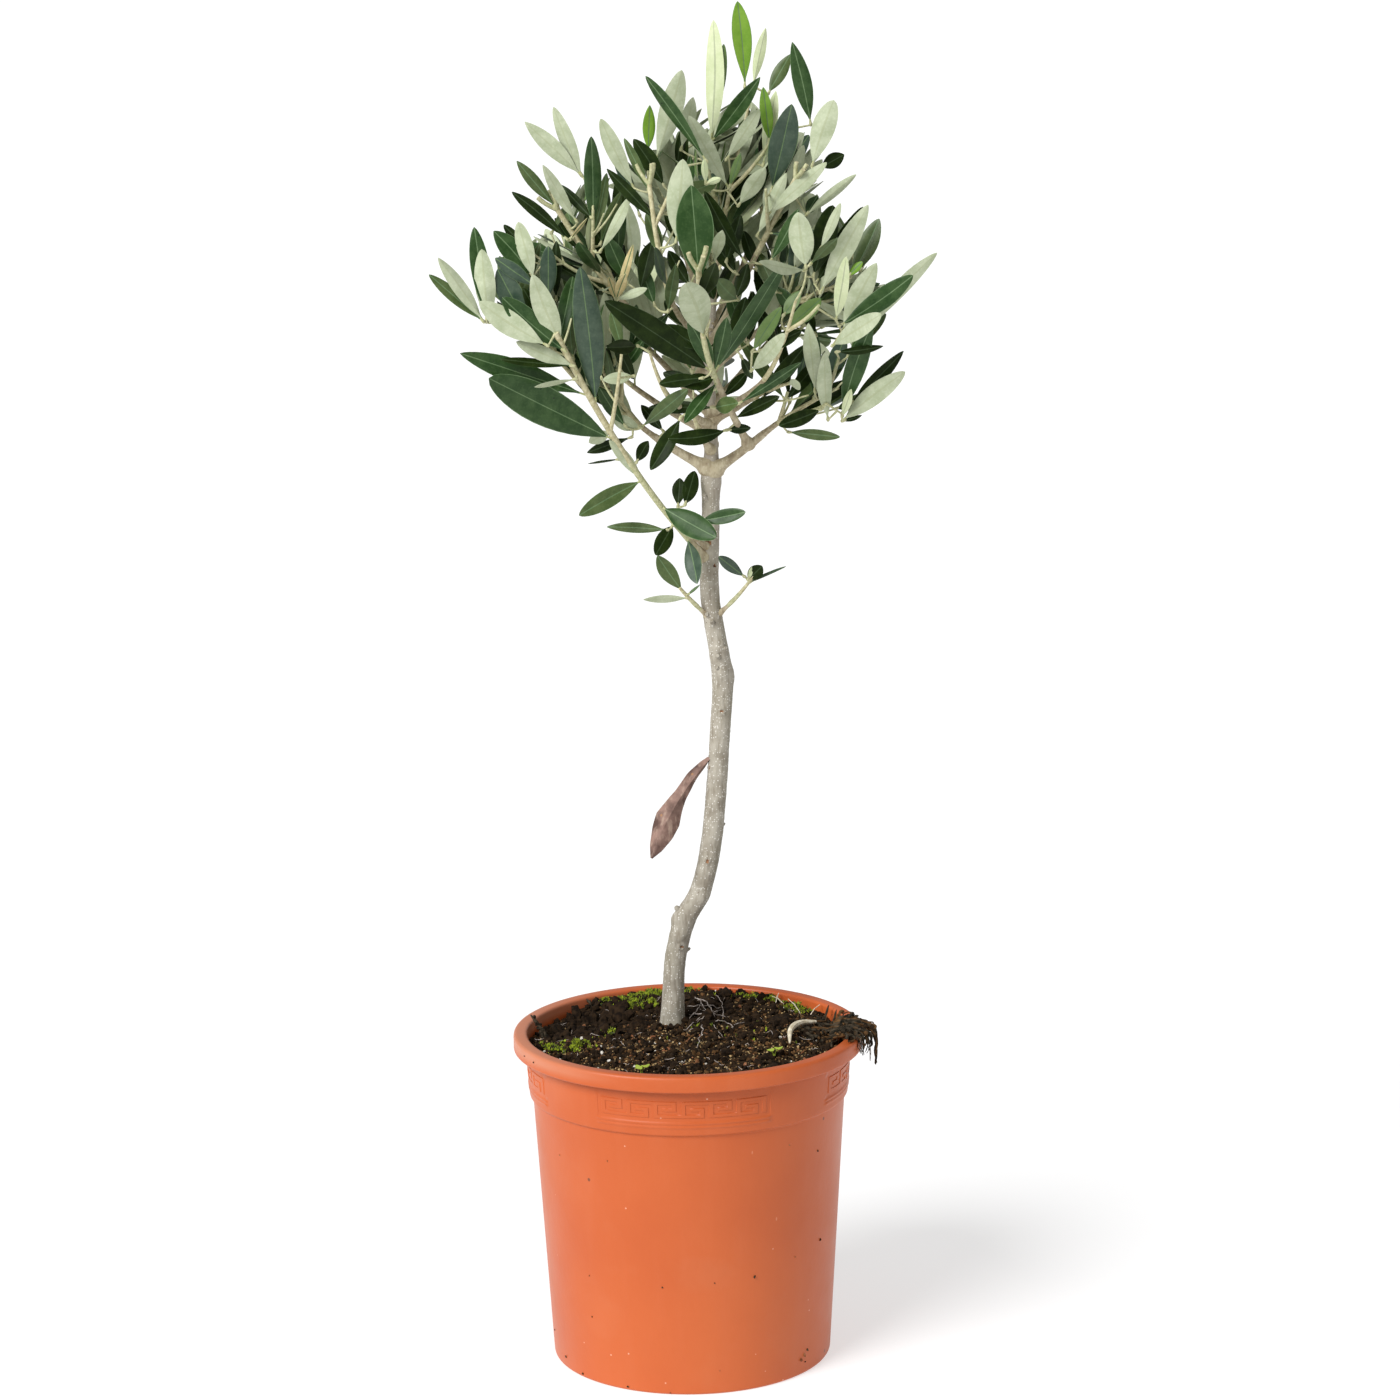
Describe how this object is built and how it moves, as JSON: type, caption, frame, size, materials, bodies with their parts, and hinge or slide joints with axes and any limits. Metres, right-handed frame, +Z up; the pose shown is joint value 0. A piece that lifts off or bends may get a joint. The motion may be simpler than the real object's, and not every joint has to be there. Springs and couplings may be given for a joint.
{
  "type": "potted olive tree",
  "caption": "Young olive tree grown as a small standard: a bent slender trunk, a loose round head of narrow leaves, in a round plastic nursery pot filled with soil.",
  "frame": {"origin": "centre of the pot's flat underside", "axes": "+Z up along the pot's axis, -Y towards the front, +X to the right of the front view"},
  "size_m": [0.2462, 0.2279, 0.6548],
  "materials": {
    "pot": "satin terracotta-coloured plastic",
    "soil": "rough, dark potting mix",
    "bark": "matt grey-beige bark",
    "leaves": "leathery, satin above and pale below",
    "dead_leaf": "dry, matt"
  },
  "bodies": {
    "root": {"pot": "pot", "soil": "soil", "trunk": "bark", "bough_low_left": "bark", "bough_left": "bark", "bough_right_low": "bark", "bough_front": "bark", "bough_front_left": "bark", "bough_front_low": "bark", "bough_right_inner": "bark", "bough_centre_right": "bark", "bough_upper_left": "bark", "bough_inner_left": "bark", "bough_top_left": "bark", "bough_right_up": "bark", "bough_top_right": "bark", "bough_right": "bark", "bough_back_left": "bark", "bough_back_right": "bark", "bough_back_low": "bark", "bough_back": "bark", "bough_left_back": "bark", "bough_low_inner": "bark", "bough_sprout_left": "bark", "bough_sprout_right": "bark", "leaves_low_left": "leaves", "leaves_left": "leaves", "leaves_right_low": "leaves", "leaves_front": "leaves", "leaves_front_left": "leaves", "leaves_front_low": "leaves", "leaves_right_inner": "leaves", "leaves_centre_right": "leaves", "leaves_upper_left": "leaves", "leaves_inner_left": "leaves", "leaves_top_left": "leaves", "leaves_top": "leaves", "leaves_right_up": "leaves", "leaves_top_right": "leaves", "leaves_right": "leaves", "leaves_back_left": "leaves", "leaves_back_right": "leaves", "leaves_back_low": "leaves", "leaves_back": "leaves", "leaves_left_back": "leaves", "leaves_low_inner": "leaves", "leaves_sprout_left": "leaves", "leaves_sprout_right": "leaves", "dead_leaf": "dead_leaf"}
  },
  "joints": []
}
